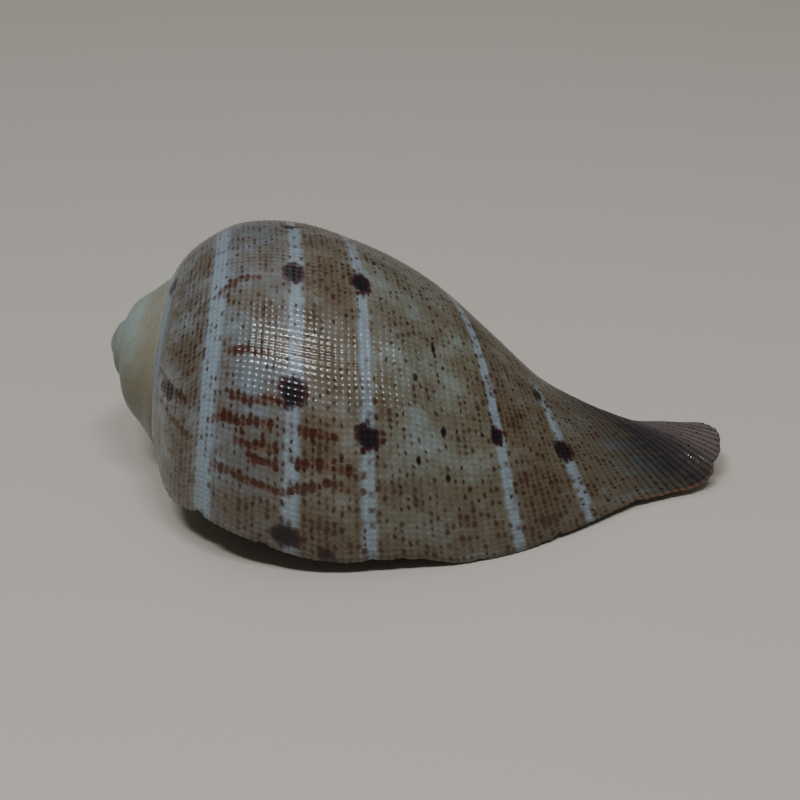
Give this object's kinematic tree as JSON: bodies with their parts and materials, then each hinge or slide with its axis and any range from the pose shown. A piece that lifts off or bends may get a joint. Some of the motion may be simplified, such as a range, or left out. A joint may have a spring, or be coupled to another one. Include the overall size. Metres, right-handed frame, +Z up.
{
  "type": "fig shell",
  "caption": "Empty fig shell: a thin pear-shaped sea snail shell with a low spire, wide mouth and long open canal, lying on its mouth.",
  "frame": {"origin": "middle of the bounding box, at the level of the surface that the shell lies on", "axes": "+Z up, +X from the spire towards the canal end, -Y towards the outer lip"},
  "size_m": [0.0848, 0.0488, 0.0367],
  "materials": {
    "shell_lime": "low gloss, finely latticed outside with brown spots on pale bands, smooth and glossy inside"
  },
  "bodies": {
    "root": {"fig_shell": "shell_lime"}
  },
  "joints": []
}
